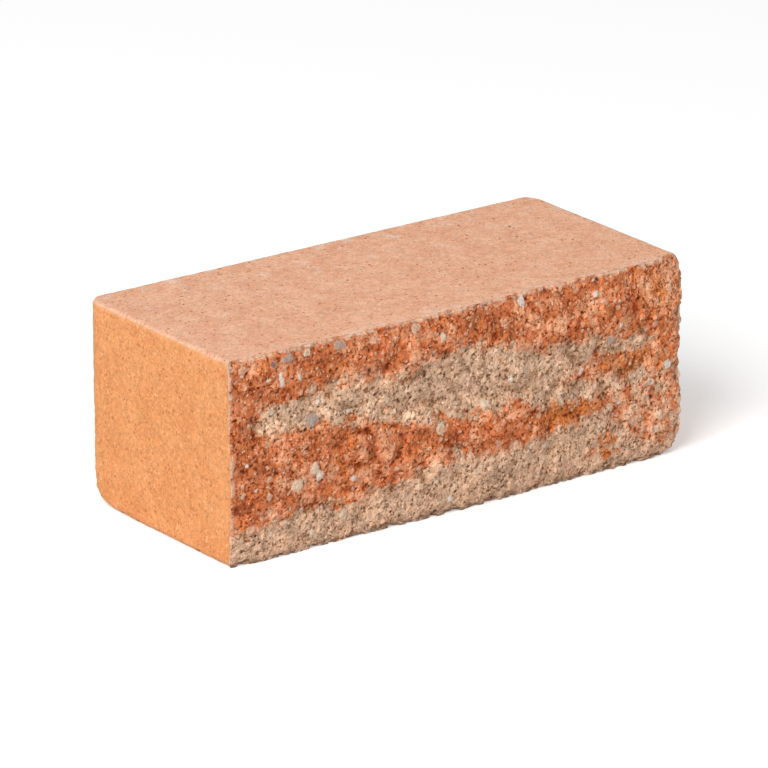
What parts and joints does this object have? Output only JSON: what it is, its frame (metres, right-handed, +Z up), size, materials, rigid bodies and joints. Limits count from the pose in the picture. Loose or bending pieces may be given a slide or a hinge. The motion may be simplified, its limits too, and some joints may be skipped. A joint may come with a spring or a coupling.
{
  "type": "concrete wall block",
  "caption": "Solid split-face concrete block: one long face broken rough, the ends, back, top and bed moulded smooth, round corners at the back. Laid in courses as a garden or retaining wall.",
  "frame": {"origin": "centre of the bed face, halfway along the length and halfway between the back and the mean plane of the split face", "axes": "+X along the length, -Y out of the split face, +Y out of the back face, +Z up from the bed to the top"},
  "size_m": [0.29, 0.1359, 0.11],
  "materials": {
    "concrete": "through-coloured pressed concrete, orange marbled with tan; matt and sandy where moulded, coarse and granular with cream and grey aggregate where split"
  },
  "bodies": {
    "root": {"wall_block": "concrete"}
  },
  "joints": []
}
